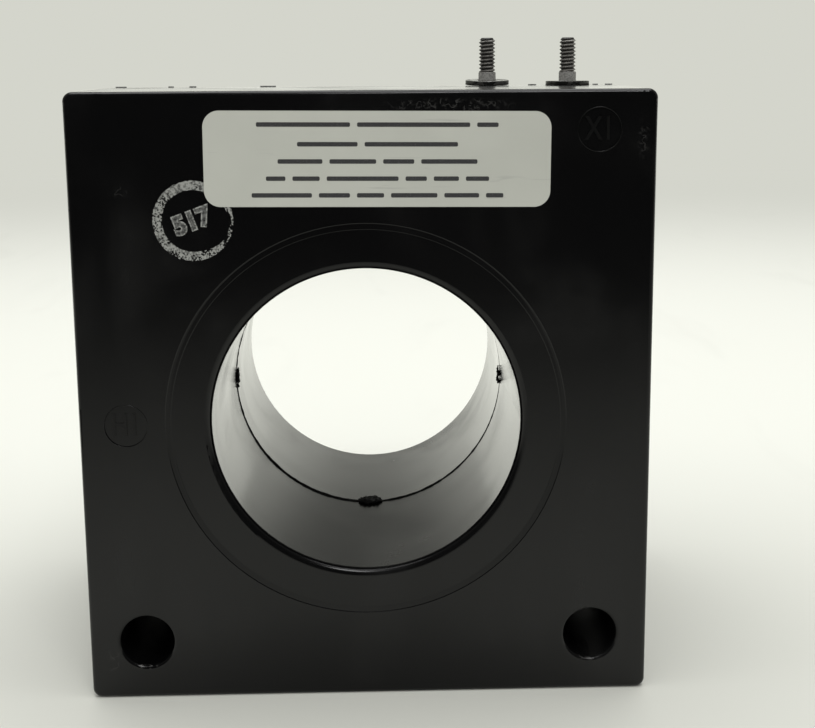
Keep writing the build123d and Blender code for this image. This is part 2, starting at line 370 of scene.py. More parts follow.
@dataclass(frozen=True)
class CasePlastic(Finish):
    """Black glossy moulded plastic, with smudges, dust and a few scuffs."""

    name: str = "case_plastic"
    colour: Colour = BARE_PLASTIC
    roughness: float = 0.15
    scuffs: tuple[Scuff, ...] = ()
    # Pale colour of the dust, smudges and scuffs, and of the painted highlight on the rims of the mounting
    # holes
    dust: Colour = (0.42, 0.41, 0.39)
    speck_share: float = 0.55
    film_share: float = 0.012
    waviness: float = 0.06 * MM

    def paint(self, graph: Graph) -> None:
        """Build the plastic.

        Args:
            graph: Nodes of the material.
        """
        haze = graph.noise(22.0, 4.0, distortion=0.6)
        wipe = graph.noise(60.0, 5.0, graph.space(scale=(1, 1, 0.18), turn=(0, 14, 0)), distortion=0.3)
        smudge = graph.times(graph.remap(haze, 0.42, 0.72), graph.remap(wipe, 0.35, 0.7))
        wear = graph.times(self.specks(graph), self.speck_share)
        if self.scuffs:
            wear = graph.larger(wear, self.scratches(graph))
        pale = graph.plus(wear, graph.times(smudge, self.film_share), clamp=True)
        graph.set("Base Color", graph.blend(pale, self.colour, self.dust))
        gloss = graph.remap(haze, 0.3, 0.75, self.roughness, self.roughness + 0.06)
        rough = graph.plus(gloss, graph.times(smudge, 0.1))
        graph.set("Roughness", graph.plus(rough, graph.times(wear, 0.4), clamp=True))
        graph.set("IOR", 1.5)
        graph.set("Specular IOR Level", 0.42)
        waves = graph.times(graph.noise(55.0, 1.0), 0.9)
        grain = graph.times(graph.noise(1500.0, 2.0), 0.03)
        graph.relief(graph.plus(waves, grain), self.waviness, 0.35)

    def specks(self, graph: Graph) -> Socket:
        """Specks of dust, as small dots in some of the cells of a few patches.

        Args:
            graph: Nodes of the material.

        Returns:
            A value of 1 on a speck.
        """
        cells = graph.cells(420.0)
        chosen = graph.calc("GREATER_THAN", graph.noise(1.0, 0.0, cells["Position"]), 0.62)
        dots = graph.times(graph.remap(cells["Distance"], 0.06, 0.1, 1.0, 0.0), chosen)
        return graph.times(dots, graph.remap(graph.noise(35.0, 2.0), 0.5, 0.62))

    def scratches(self, graph: Graph) -> Socket:
        """Fine broken lines and rubbed streaks in the scuffed places.

        Args:
            graph: Nodes of the material.

        Returns:
            Their strength between 0 and 1.
        """
        rubbed = graph.noise(1100.0, 5.0, graph.space(scale=(0.7, 1, 1), turn=(0, 24, 0)))
        contour = graph.calc("ABSOLUTE", graph.calc("SUBTRACT", graph.noise(330.0, 1.5), 0.5))
        lines = graph.times(graph.remap(contour, 0.004, 0.018, 1.0, 0.0), graph.remap(rubbed, 0.38, 0.5))
        lines = graph.larger(lines, graph.times(graph.remap(rubbed, 0.5, 0.7), 0.6))
        places = [
            graph.times(graph.spot(scuff.middle, scuff.reach, scuff.soft), scuff.strength)
            for scuff in self.scuffs
        ]
        scuffed = places[0]
        for place in places[1:]:
            scuffed = graph.larger(scuffed, place)
        return graph.times(scuffed, lines)


@dataclass(frozen=True)
class CastResin(Finish):
    """Black casting resin that has run out and set, with a rough skin."""

    name: str = "cast_resin"
    colour: Colour = (0.003, 0.003, 0.003)
    roughness: float = 0.5
    lump_colour: Colour = (0.012, 0.012, 0.011)
    lump_depth: float = 0.18 * MM

    def paint(self, graph: Graph) -> None:
        """Build the resin.

        Args:
            graph: Nodes of the material.
        """
        lumps = graph.noise(900.0, 4.0, distortion=0.4)
        graph.set("Base Color", graph.blend(graph.remap(lumps, 0.45, 0.8), self.colour, self.lump_colour))
        graph.set("Roughness", graph.remap(lumps, 0.3, 0.7, self.roughness - 0.08, self.roughness + 0.2))
        graph.relief(lumps, self.lump_depth, 0.8)


@dataclass(frozen=True)
class DullSteel(Finish):
    """Plated steel gone dull, with turned marks and patches of darker dirt."""

    colour: Colour
    dirt: Colour
    roughness: float
    ring_scale: float = 2600.0
    ring_depth: float = 0.03 * MM

    def paint(self, graph: Graph) -> None:
        """Build the metal.

        Args:
            graph: Nodes of the material.
        """
        cloud = graph.noise(380.0, 4.0, distortion=0.5)
        rings = graph.noise(self.ring_scale, 2.0, graph.space(scale=(0.05, 0.05, 1)))
        stain = graph.remap(graph.times(cloud, graph.plus(rings, 0.45)), 0.38, 0.62)
        graph.set("Base Color", graph.blend(stain, self.colour, self.dirt))
        graph.set("Metallic", graph.remap(stain, 0.0, 1.0, 1.0, 0.35))
        graph.set("Roughness", graph.remap(stain, 0.0, 1.0, self.roughness, self.roughness + 0.3))
        graph.relief(rings, self.ring_depth, 0.5)


@dataclass(frozen=True)
class ThreadSteel(Finish):
    """Dull plated screw: worn crests, dark grooves and a mottled shank, by the distance from its axis."""

    axis: Pair
    crest_radius: float
    root_radius: float
    crest: Colour = (0.3, 0.29, 0.265)
    groove: Colour = (0.022, 0.02, 0.017)
    shank: Colour = (0.36, 0.355, 0.33)
    fade: float = 0.05 * MM
    shank_from: float = 0.03 * MM
    shank_to: float = 0.08 * MM
    grain_depth: float = 0.04 * MM

    def paint(self, graph: Graph) -> None:
        """Build the metal.

        Args:
            graph: Nodes of the material.
        """
        x, y = self.axis
        radius = graph.distance((1, 1, 0), (-x, -y, 0))
        root, crest = self.root_radius, self.crest_radius
        # Share of the way from the thread's root to its crest: the grooves are near black and the crests
        # lighter
        worn = graph.remap(radius, root + self.fade, crest - self.fade)
        plain = graph.remap(radius, crest + self.shank_from, crest + self.shank_to)
        grain = graph.noise(2600.0, 4.0)
        patch = graph.noise(420.0, distortion=0.6)
        crests = graph.blend(graph.remap(patch, 0.42, 0.66), self.crest, dim(self.crest, 0.45))
        shank = graph.blend(graph.remap(grain, 0.4, 0.62), self.shank, dim(self.shank, 0.6))
        thread = graph.blend(worn, self.groove, crests)
        graph.set("Base Color", graph.blend(plain, thread, shank))
        graph.set("Metallic", graph.times(worn, 0.35))
        graph.set("Roughness", graph.remap(grain, 0.3, 0.7, 0.36, 0.55))
        graph.relief(grain, self.grain_depth, 0.5)


@dataclass(frozen=True)
class SatinPaper(Finish):
    """Silver-grey satin label film, slightly uneven, with faint rub marks."""

    name: str = "label_film"
    colour: Colour = (0.5, 0.508, 0.455)
    rubbed: Colour = (0.32, 0.32, 0.3)
    fibre_depth: float = 0.01 * MM

    def paint(self, graph: Graph) -> None:
        """Build the film.

        Args:
            graph: Nodes of the material.
        """
        fibre = graph.noise(2200.0, 4.0)
        cloud = graph.remap(graph.noise(45.0), 0.3, 0.75)
        tone = graph.blend(cloud, self.colour, dim(self.colour, 0.93))
        rubbed = graph.noise(500.0, 4.0, graph.space(scale=(0.08, 1, 1), turn=(0, -18, 0)), distortion=0.8)
        marks = graph.times(graph.remap(rubbed, 0.64, 0.72), 0.35)
        graph.set("Base Color", graph.blend(marks, tone, self.rubbed))
        graph.set("Roughness", graph.remap(fibre, 0.3, 0.7, 0.42, 0.55))
        graph.set("Specular IOR Level", 0.4)
        graph.relief(fibre, self.fibre_depth, 0.3)


@dataclass(frozen=True)
class StampPaint(Finish):
    """Thin grey-white stamping paint, stippled, and worn through to the plastic towards its right side."""

    colour: Colour
    cover: float
    middle_x: float
    bare: Colour = BARE_PLASTIC
    worn_from: float = 4.5 * MM
    worn_to: float = 9.5 * MM
    dot_depth: float = 0.03 * MM

    def paint(self, graph: Graph) -> None:
        """Build the paint.

        Args:
            graph: Nodes of the material.
        """
        stipple = graph.noise(1900.0, 4.0)
        patch = graph.noise(210.0, 2.0)
        streaks = graph.noise(900.0, 3.0, graph.space(scale=(1, 1, 0.25), turn=(0, -35, 0)), distortion=0.8)
        right = graph.remap(graph.axes()["X"], self.middle_x + self.worn_from, self.middle_x + self.worn_to)
        loss = graph.times(right, graph.remap(streaks, 0.38, 0.62, 0.02, 0.22))
        amount = graph.plus(graph.times(stipple, 0.55), graph.times(patch, 0.45))
        amount = graph.calc("SUBTRACT", amount, loss)
        bare = graph.remap(amount, self.cover - 0.03, self.cover + 0.03, 1.0, 0.0)
        shade = graph.blend(graph.remap(stipple, 0.4, 0.6), dim(self.colour, 0.3), self.colour)
        graph.set("Base Color", graph.blend(bare, shade, self.bare))
        graph.set("Roughness", graph.remap(bare, 0.0, 1.0, 0.75, 0.18))
        graph.set("Specular IOR Level", 0.42)
        graph.relief(stipple, self.dot_depth, 0.4)


@dataclass(frozen=True)
class PrintInk(Finish):
    """Matt dark printing ink."""

    name: str = "print_ink"
    colour: Colour = (0.035, 0.035, 0.037)
    worn: Colour = (0.085, 0.085, 0.087)

    def paint(self, graph: Graph) -> None:
        """Build the ink.

        Args:
            graph: Nodes of the material.
        """
        grain = graph.noise(3000.0, 2.0)
        graph.set("Base Color", graph.blend(graph.remap(grain, 0.5, 0.8), self.colour, self.worn))
        graph.set("Roughness", graph.remap(grain, 0.3, 0.7, 0.5, 0.62))


@dataclass(frozen=True)
class EnamelledCopper(Finish):
    """Copper wire under clear brown enamel."""

    name: str = "enamelled_copper"
    colour: Colour = (0.52, 0.2, 0.08)

    def paint(self, graph: Graph) -> None:
        """Build the wire.

        Args:
            graph: Nodes of the material.
        """
        drawn = graph.noise(1800.0, vector=graph.space(scale=(1, 0.05, 1)))
        tone = graph.blend(graph.remap(drawn, 0.3, 0.7), self.colour, dim(self.colour, 0.6))
        graph.set("Base Color", tone)
        graph.set("Metallic", 0.9)
        graph.set("Roughness", graph.remap(drawn, 0.3, 0.7, 0.22, 0.36))
        graph.set("Coat Weight", 0.6)
        graph.set("Coat Roughness", 0.12)


@dataclass(frozen=True)
class WoundStrip(Finish):
    """Edges of a tightly wound steel strip, as fine rings round the window's axis."""

    name: str = "wound_strip"
    colour: Colour = (0.42, 0.43, 0.45)
    rust: Colour = (0.2, 0.14, 0.09)
    strip_thickness: float = 0.3 * MM
    edge_depth: float = 0.03 * MM

    def paint(self, graph: Graph) -> None:
        """Build the strip.

        Args:
            graph: Nodes of the material.
        """
        radius = graph.distance((1, 0, 1), (0, 0, -WINDOW_HEIGHT))
        turns = graph.calc("SINE", graph.times(radius, 2 * math.pi / self.strip_thickness))
        rust = graph.noise(160.0, 4.0, distortion=0.4)
        tone = graph.blend(graph.remap(turns, -1.0, 1.0), self.colour, dim(self.colour, 0.55))
        graph.set("Base Color", graph.blend(graph.remap(rust, 0.55, 0.8), tone, self.rust))
        graph.set("Metallic", 0.95)
        graph.set("Roughness", graph.remap(rust, 0.3, 0.8, 0.3, 0.55))
        graph.relief(turns, self.edge_depth, 0.5)


@dataclass(frozen=True)
class WovenTape(Finish):
    """Woven tape or sleeving under varnish."""

    colour: Colour
    threads_per_metre: float = 1600.0
    thread_depth: float = 0.08 * MM

    def paint(self, graph: Graph) -> None:
        """Build the weave.

        Args:
            graph: Nodes of the material.
        """
        pitch = 2 * math.pi * self.threads_per_metre
        across, along, up = [graph.calc("SINE", graph.times(axis, pitch)) for axis in graph.axes()]
        weave = graph.times(graph.plus(across, up), along)
        uneven = graph.noise(90.0, 4.0)
        tone = graph.blend(graph.remap(weave, -1.2, 1.2), dim(self.colour, 0.62), self.colour)
        tone = graph.blend(graph.remap(uneven, 0.45, 0.8), tone, dim(self.colour, 0.7))
        graph.set("Base Color", tone)
        graph.set("Roughness", graph.remap(uneven, 0.3, 0.7, 0.45, 0.7))
        graph.relief(weave, self.thread_depth, 0.6)


@dataclass(frozen=True)
class Pressboard(Finish):
    """Tan pressboard with short fibres."""

    name: str = "pressboard"
    colour: Colour = (0.5, 0.36, 0.2)
    fibre_depth: float = 0.05 * MM

    def paint(self, graph: Graph) -> None:
        """Build the board.

        Args:
            graph: Nodes of the material.
        """
        fibre = graph.noise(1400.0, 5.0, distortion=1.5)
        cloud = graph.remap(graph.noise(60.0), 0.4, 0.8)
        tone = graph.blend(graph.remap(fibre, 0.35, 0.7), self.colour, dim(self.colour, 0.72))
        graph.set("Base Color", graph.blend(cloud, tone, dim(self.colour, 0.85)))
        graph.set("Roughness", graph.remap(fibre, 0.3, 0.7, 0.6, 0.78))
        graph.relief(fibre, self.fibre_depth, 0.5)


# Modelling by hand


class Bench:
    """Operators that shape one mesh at a time."""

    upright: ClassVar[Point] = (math.radians(90), 0, 0)
    doubles: ClassVar[float] = 1e-7
    letter_steps: ClassVar[int] = 6
    ribbon_flatness: ClassVar[float] = 0.2

    @staticmethod
    def clear() -> None:
        """Leave edit mode and deselect everything."""
        if bpy.context.mode != "OBJECT":
            bpy.ops.object.mode_set(mode="OBJECT")
        bpy.ops.object.select_all(action="DESELECT")

    @staticmethod
    def adopt(name: str) -> bpy.types.Object:
        """Name the active object and its mesh, and apply its place and turn.

        Args:
            name: Name of the piece.

        Returns:
            The object, at the origin.
        """
        piece = bpy.context.view_layer.objects.active
        piece.name = name
        piece.data.name = name
        return Bench.settle(piece)

    @staticmethod
    def only(piece: bpy.types.Object) -> None:
        """Select one piece and make it active."""
        Bench.clear()
        piece.select_set(True)
        bpy.context.view_layer.objects.active = piece

    @staticmethod
    def settle(piece: bpy.types.Object) -> bpy.types.Object:
        """Apply a piece's place, turn and scale to its mesh.

        Args:
            piece: The piece.

        Returns:
            The same piece, with its object at the origin.
        """
        Bench.only(piece)
        bpy.ops.object.transform_apply(location=True, rotation=True, scale=True)
        return piece

    @staticmethod
    @contextmanager
    def editing(piece: bpy.types.Object) -> Iterator[None]:
        """Edit mode on all of one piece, and object mode after it.

        Args:
            piece: The piece.

        Yields:
            Nothing, while the piece is in edit mode.
        """
        Bench.only(piece)
        bpy.ops.object.mode_set(mode="EDIT")
        bpy.ops.mesh.select_all(action="SELECT")
        yield
        bpy.ops.object.mode_set(mode="OBJECT")

    @staticmethod
    def modify(piece: bpy.types.Object, kind: str, **settings: object) -> None:
        """Add a modifier and apply it.

        Args:
            piece: The piece.
            kind: Blender's type name of the modifier.
            **settings: Properties to set on it.
        """
        Bench.only(piece)
        modifier = piece.modifiers.new(kind.title(), kind)
        for key, value in settings.items():
            setattr(modifier, key, value)
        bpy.ops.object.modifier_apply(modifier=modifier.name)

    @staticmethod
    def bevel(piece: bpy.types.Object, width: float, segments: int, angle: float) -> None:
        """Round the edges that are sharper than an angle.

        Args:
            piece: The piece.
            width: Width of the bevel in metres.
            segments: Faces across the bevel.
            angle: Smallest angle that is rounded, in degrees.
        """
        limit = math.radians(angle)
        Bench.modify(piece, "BEVEL", width=width, segments=segments, limit_method="ANGLE", angle_limit=limit)

    @staticmethod
    def combine(piece: bpy.types.Object, other: bpy.types.Object, operation: str) -> None:
        """Join or cut a piece with another one, which is used up.

        Args:
            piece: The piece that stays.
            other: The piece that is used up.
            operation: UNION, DIFFERENCE or INTERSECT.
        """
        Bench.modify(piece, "BOOLEAN", operation=operation, object=other, solver="MANIFOLD")
        mesh = other.data
        bpy.data.objects.remove(other)
        bpy.data.meshes.remove(mesh)

    @staticmethod
    def roughen(
        piece: bpy.types.Object, lump: float, strength: float, octaves: int = 2, level: float = 0.5
    ) -> None:
        """Push a piece's surface in and out by cloudy noise, and shade it smooth.

        Args:
            piece: The piece.
            lump: Size of the lumps in metres.
            strength: How far the noise moves the surface, in metres.
            octaves: Octaves of finer noise.
            level: Noise that leaves the surface where it is.
        """
        clouds = bpy.data.textures.new(f"{piece.name}_lumps", "CLOUDS")
        clouds.noise_scale = lump
        clouds.noise_depth = octaves
        Bench.modify(
            piece,
            "DISPLACE",
            texture=clouds,
            texture_coords="GLOBAL",
            strength=strength,
            mid_level=level,
        )
        Bench.smooth(piece, 60.0)

    @staticmethod
    def smooth(piece: bpy.types.Object, angle: float) -> None:
        """Shade a piece smooth, apart from edges sharper than an angle in degrees."""
        Bench.only(piece)
        bpy.ops.object.shade_smooth_by_angle(angle=math.radians(angle))

    @staticmethod
    def outward(piece: bpy.types.Object) -> None:
        """Merge doubles and turn every face outwards."""
        with Bench.editing(piece):
            bpy.ops.mesh.remove_doubles(threshold=Bench.doubles)
            bpy.ops.mesh.normals_make_consistent(inside=False)

    @staticmethod
    def ring(name: str, place: Point, radius: float, thick: float, segments: Counts) -> bpy.types.Object:
        """Upright round ring that faces the front.

        Args:
            name: Name of the piece.
            place: Its middle.
            radius: Radius to the middle of its section.
            thick: Radius of its section.
            segments: Faces round the ring and round its section.

        Returns:
            The new piece.
        """
        Bench.clear()
        bpy.ops.mesh.primitive_torus_add(
            location=place,
            rotation=Bench.upright,
            major_radius=radius,
            minor_radius=thick,
            major_segments=segments[0],
            minor_segments=segments[1],
        )
        return Bench.adopt(name)

    @staticmethod
    def draw(name: str, points: Sequence[Point]) -> bpy.types.Object:
        """Draw a line of edges by extruding one vertex from point to point.

        Args:
            name: Name of the piece.
            points: The corners of the line.

        Returns:
            The new piece.
        """
        Bench.clear()
        bpy.ops.mesh.primitive_plane_add(size=1 * MM, location=points[0])
        piece = Bench.adopt(name)
        with Bench.editing(piece):
            bpy.ops.mesh.merge(type="CENTER")
            for start, end in zip(points, points[1:]):
                step = Vector(end) - Vector(start)
                bpy.ops.mesh.extrude_region_move(TRANSFORM_OT_translate={"value": step})
        return piece

    @staticmethod
    def spin(name: str, points: Sequence[Pair], axis_point: Point, steps: int) -> bpy.types.Object:
        """Turn an outline round an upright axis. It is closed, or starts and ends on the axis.

        Args:
            name: Name of the piece.
            points: Corners of the outline as radius and height above the axis point.
            axis_point: A point on the axis.
            steps: Faces round the axis.

        Returns:
            The new closed piece.
        """
        x, y, z = axis_point
        corners = [(x + radius, y, z + height) for radius, height in points]
        if points[0][0] > 0:
            corners.append(corners[0])
        piece = Bench.draw(name, corners)
        with Bench.editing(piece):
            bpy.ops.mesh.remove_doubles(threshold=Bench.doubles)
            bpy.ops.mesh.spin(
                steps=steps,
                angle=2 * math.pi,
                center=axis_point,
                axis=(0, 0, 1),
                use_auto_merge=False,
            )
        Bench.outward(piece)
        return piece

    @staticmethod
    def write(
        name: str,
        words: str,
        place: Point,
        *,
        size: float,
        weight: float,
        depth: float,
        turn: float = 0.0,
        narrow: float = 1.0,
        ribbon: float = 0.0,
    ) -> bpy.types.Object:
        """Characters as a thin mesh that stands on an upright front face.

        Args:
            name: Name of the piece.
            words: The characters.
            place: Middle of the characters.
            size: Height of the font's line in metres.
            weight: How much heavier the strokes are drawn, in metres.
            depth: Half the thickness of the characters, in metres.
            turn: Turn in the plane of the face, in degrees, counterclockwise from the front.
            narrow: Width of the characters as a share of the font's.
            ribbon: Where it isn't 0, only the outlines are drawn, as flat ribbons of twice this width.

        Returns:
            The new piece.
        """
        Bench.clear()
        bpy.ops.object.text_add(location=place)
        text = bpy.context.view_layer.objects.active
        text.data.body = words
        text.data.size = size
        text.data.offset = weight
        text.data.extrude = depth
        text.data.align_x = "CENTER"
        text.data.align_y = "CENTER"
        text.data.resolution_u = Bench.letter_steps
        text.scale.x = narrow
        if ribbon:
            text.data.fill_mode = "NONE"
            text.data.bevel_depth = ribbon
            text.data.bevel_resolution = 1
            text.scale.z = Bench.ribbon_flatness
        text.rotation_euler = radians((90, -turn, 0))
        bpy.context.view_layer.update()
        bpy.ops.object.convert(target="MESH")
        piece = Bench.adopt(name)
        Bench.outward(piece)
        return piece


def place_piece(piece: bpy.types.Object, finish: Finish, stands_for: Iterable[str] = ()) -> None:
    """Dress a new piece, put it on the root body and report it.

    Args:
        piece: The piece.
        finish: Its finish.
        stands_for: CAD nodes that it replaces.
    """
    finish.dress(piece)
    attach(piece, "root")
    for node in stands_for:
        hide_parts(node)
    log.info("%s: %d faces", piece.name, len(piece.data.polygons))


def dress_node(node: str, finish: Finish) -> None:
    """Dress a CAD node and report it."""
    finish.dress(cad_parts[node])
    log.info("%s: dressed", node)


# Sub-assemblies


@dataclass
class Case:
    """Both moulded halves, a ledge in each dish and the polarity marks in the front face."""

    marks: ClassVar[dict[str, tuple[str, Pair]]] = {
        "output_mark": ("X1", (61.1 * MM, 154.0 * MM)),
        "input_mark": ("H1", (-63.8 * MM, WINDOW_HEIGHT)),
    }
    mark_size: float = 8.6 * MM
    mark_weight: float = 0.1 * MM
    mark_narrow: float = 0.72
    mark_height: float = 0.2 * MM
    mark_sink: float = 0.01 * MM
    pad_depth: float = 0.25 * MM
    pad_radius: float = 5.7 * MM
    ridge_radius: float = 0.13 * MM
    ridge_segments: Counts = (96, 8)
    ridge_lump: float = 3.0 * MM
    ridge_wear: float = 0.12 * MM
    ridge_level: float = 0.35
    ledge_outer: float = 53.36 * MM
    ledge_inner: float = 51.95 * MM
    ledge_foot: float = 51.72 * MM
    ledge_depth: float = 0.142 * MM
    foot_depth: float = 0.33 * MM
    ledge_back: float = 0.6 * MM
    ledge_sink: float = 0.093 * MM
    ledge_steps: int = 256
    plastic: CasePlastic = CasePlastic(
        scuffs=(
            Scuff((0.022, -0.057, 0.1605), (0.022, 0.004, 0.0022), 0.09),
            Scuff((0.0725, -0.057, 0.152), (0.0022, 0.004, 0.008), 0.05),
            Scuff((-0.063, -0.057, 0.139), (0.004, 0.004, 0.002), 0.04),
            Scuff((-0.070, -0.057, 0.011), (0.003, 0.004, 0.006), 0.04),
            # The last two lie on the lower rims of the mounting holes: partly wear and partly painted
            # highlight, paler where the rims catch the light
            Scuff((-0.0607, -0.0566, 0.0091), (0.0048, 0.0012, 0.0014), 0.35),
            Scuff((0.0607, -0.0566, 0.0091), (0.0048, 0.0012, 0.0014), 0.15),
        )
    )
    worn_plastic: CasePlastic = CasePlastic("mark_plastic", (0.0026, 0.0026, 0.0027), 0.32)

    def build(self) -> None:
        """Dress both halves and model the marks and ledges."""
        for node in ("front_case", "rear_case"):
            dress_node(node, self.plastic)
        for name, (words, place) in self.marks.items():
            self.mark(name, words, place)
            self.ridge(name, place)
        for face in Face:
            self.ledge(face)

    def ledge(self, face: Face) -> None:
        """Flat ledge at the foot of the dish's rim, with a second fine step that fades out below the window.

        Args:
            face: The face whose dish it lies in.
        """
        section = [
            (self.ledge_outer, self.ledge_depth),
            (self.ledge_inner, self.ledge_depth),
            (self.ledge_foot, self.foot_depth),
            (self.ledge_foot, self.ledge_back),
            (self.ledge_outer, self.ledge_back),
        ]
        outline = [(radius, -FACE_Y - depth) for radius, depth in section]
        piece = Bench.spin(f"{face.name.lower()}_ledge", outline, (0, 0, 0), self.ledge_steps)
        tilt = math.asin(self.ledge_sink / self.ledge_outer)
        piece.rotation_euler = (face.value * (math.radians(90) + tilt), 0, 0)
        piece.location = (0, face.value * self.ledge_sink, WINDOW_HEIGHT)
        Bench.settle(piece)
        Bench.smooth(piece, 30.0)
        place_piece(piece, self.plastic)

    def mark(self, name: str, words: str, place: Pair) -> None:
        """Low raised characters of one polarity mark, on the floor of its pad.

        Args:
            name: Name of the piece.
            words: The standard polarity characters.
            place: Middle of the pad as X and Z.
        """
        half_height = self.mark_height / 2
        middle_y = FACE_Y + self.pad_depth - half_height + self.mark_sink
        piece = Bench.write(
            name,
            words,
            (place[0], middle_y, place[1]),
            size=self.mark_size,
            weight=self.mark_weight,
            depth=half_height,
            narrow=self.mark_narrow,
        )
        Bench.smooth(piece, 30.0)
        place_piece(piece, self.worn_plastic)

    def ridge(self, name: str, place: Pair) -> None:
        """Worn ridge round the pad of one polarity mark.

        Args:
            name: Name of the mark.
            place: Middle of the pad as X and Z.
        """
        middle = (place[0], FACE_Y, place[1])
        ridge = Bench.ring(f"{name}_ridge", middle, self.pad_radius, self.ridge_radius, self.ridge_segments)
        Bench.roughen(ridge, self.ridge_lump, -self.ridge_wear, level=self.ridge_level)
        place_piece(ridge, self.plastic)


@dataclass
class Label:
    """The label on the front face, with rows of plain printed bars."""

    tilt: float = -0.48
    ink_thickness: float = 0.02 * MM
    ink_sink: float = 0.005 * MM
    bar_height: float = 1.15 * MM
    bar_corner: float = 0.35 * MM
    word_gap: float = 1.8 * MM
    # Widths of the bars by the height of their row over the label's middle, in millimetres
    rows: ClassVar[dict[float, tuple[float, ...]]] = {
        8.8: (24.0, 29.0, 5.5),
        3.8: (15.5, 24.0),
        -0.6: (11.5, 12.0, 8.0, 14.5),
        -5.0: (5.0, 7.0, 18.5, 5.5, 6.5, 6.0),
        -9.3: (15.5, 8.0, 7.0, 12.0, 9.0, 4.5),
    }
    film: SatinPaper = SatinPaper()
    ink: PrintInk = PrintInk()

    def build(self) -> None:
        """Dress the label and model its bars, row by row."""
        dress_node("blank_label", self.film)
        low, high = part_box("blank_label")
        origin = ((low.x + high.x) / 2, low.y + self.ink_sink, (low.z + high.z) / 2)
        bars = []
        for height, row in self.rows.items():
            widths = [width * MM for width in row]
            along = -(sum(widths) + self.word_gap * (len(widths) - 1)) / 2
            for width in widths:
                bars.append(self.bar(origin, along + width / 2, height * MM, width))
                along += width + self.word_gap
        Bench.clear()
        for bar in bars:
            bar.select_set(True)
        bpy.context.view_layer.objects.active = bars[0]
        bpy.ops.object.join()
        place_piece(Bench.adopt("label_bars"), self.ink)

    def bar(self, origin: Point, along: float, height: float, width: float) -> bpy.types.Object:
        """One printed bar.

        Args:
            origin: Middle of the label, where the backs of the bars lie.
            along: Middle of the bar along its row, from the origin.
            height: Height of the row over the origin.
            width: Width of the bar.

        Returns:
            The bar.
        """
        turn = math.radians(self.tilt)
        x = origin[0] + along * math.cos(turn) - height * math.sin(turn)
        z = origin[2] + along * math.sin(turn) + height * math.cos(turn)
        Bench.clear()
        facing = radians((90, -self.tilt, 0))
        bpy.ops.mesh.primitive_plane_add(size=1, location=(x, origin[1], z), rotation=facing)
        bpy.context.view_layer.objects.active.scale = (width, self.bar_height, 1)
        piece = Bench.adopt("bar")
        with Bench.editing(piece):
            bpy.ops.mesh.bevel(offset=self.bar_corner, segments=3, affect="VERTICES")
            bpy.ops.mesh.select_all(action="SELECT")
            bpy.ops.mesh.extrude_region_move(TRANSFORM_OT_translate={"value": (0, -self.ink_thickness, 0)})
        Bench.outward(piece)
        return piece


@dataclass
class Stamp:
    """Painted stamp: a worn ring with plain digits in it, darker inside their edges."""

    middle: Pair = (-44.1 * MM, 131.3 * MM)
    outer_radius: float = 10.4 * MM
    inner_radius: float = 8.0 * MM
    corners: int = 200
    worn_width: float = 1.5 * MM
    worn_angle: float = -12.0
    ragged: float = 0.28 * MM
    inner_ragged: float = 0.14 * MM
    ragged_waves: tuple[tuple[float, float, float], ...] = ((9.0, 1.0, 0.0), (31.0, 0.8, 2.0))
    outer_row: float = 4.0
    thickness: float = 0.03 * MM
    sink: float = 0.005 * MM
    digits: str = "517"
    digit_offset: Pair = (-0.3 * MM, -0.2 * MM)
    digit_turn: float = 20.0
    digit_size: float = 6.6 * MM
    digit_weight: float = 0.3 * MM
    edge_radius: float = 0.2 * MM
    light: Colour = (0.31, 0.315, 0.295)
    dark: Colour = (0.13, 0.132, 0.125)
    ring_cover: float = 0.45
    digit_cover: float = 0.4
    edge_cover: float = 0.38

    def build(self) -> None:
        """Model the ring, the digits and their edges."""
        x, z = self.middle
        y = FACE_Y - self.thickness / 2 + self.sink
        ring = self.disc("stamp_ring", self.outer_radius, self.thickness, (x, y, z))
        hole = self.disc("stamp_hole", self.inner_radius, 4 * self.thickness, (x, y, z))
        Bench.combine(ring, hole, "DIFFERENCE")
        self.wear(ring)
        place_piece(ring, StampPaint("stamp_paint", self.light, self.ring_cover, x))
        place = (x + self.digit_offset[0], y, z + self.digit_offset[1])
        style = {"size": self.digit_size, "weight": self.digit_weight, "turn": self.digit_turn}
        digits = Bench.write("stamp_digits", self.digits, place, depth=self.thickness / 2, **style)
        thin_paint = StampPaint("stamp_thin_paint", self.dark, self.digit_cover, x)
        place_piece(digits, thin_paint)
        ribbon = self.edge_radius
        edges = Bench.write("stamp_digit_edges", self.digits, place, depth=0.0, ribbon=ribbon, **style)
        edge_paint = StampPaint("stamp_edge_paint", self.light, self.edge_cover, x)
        place_piece(edges, edge_paint)

    def disc(self, name: str, radius: float, depth: float, place: Point) -> bpy.types.Object:
        """Thin upright disc with many corners round it.

        Args:
            name: Name of the disc.
            radius: Its radius.
            depth: Its thickness.
            place: Its middle.

        Returns:
            The disc.
        """
        Bench.clear()
        bpy.ops.mesh.primitive_cylinder_add(
            vertices=self.corners, radius=radius, depth=depth, location=place, rotation=Bench.upright
        )
        return Bench.adopt(name)

    def wear(self, ring: bpy.types.Object) -> None:
        """Make the ring's edges ragged, and the ring thinner where it is worn.

        Each of the ragged waves has its number of waves, share and layer of noise, and each edge its row.

        Args:
            ring: The even ring.
        """
        x, z = self.middle
        between = (self.outer_radius + self.inner_radius) / 2
        turn = math.radians(self.worn_angle)
        for vertex in ring.data.vertices:
            across, up = vertex.co.x - x, vertex.co.z - z
            radius = math.hypot(across, up)
            angle = math.atan2(up, across)
            inner = radius < between
            row = 0.0 if inner else self.outer_row
            uneven = sum(
                share * noise.noise(Vector((angle * waves, row, layer)))
                for waves, share, layer in self.ragged_waves
            )
            new = radius + uneven * (self.inner_ragged if inner else self.ragged)
            if inner:
                new += self.worn_width * max(0.0, math.cos(angle - turn)) ** 3
            vertex.co.x = x + across * new / radius
            vertex.co.z = z + up * new / radius


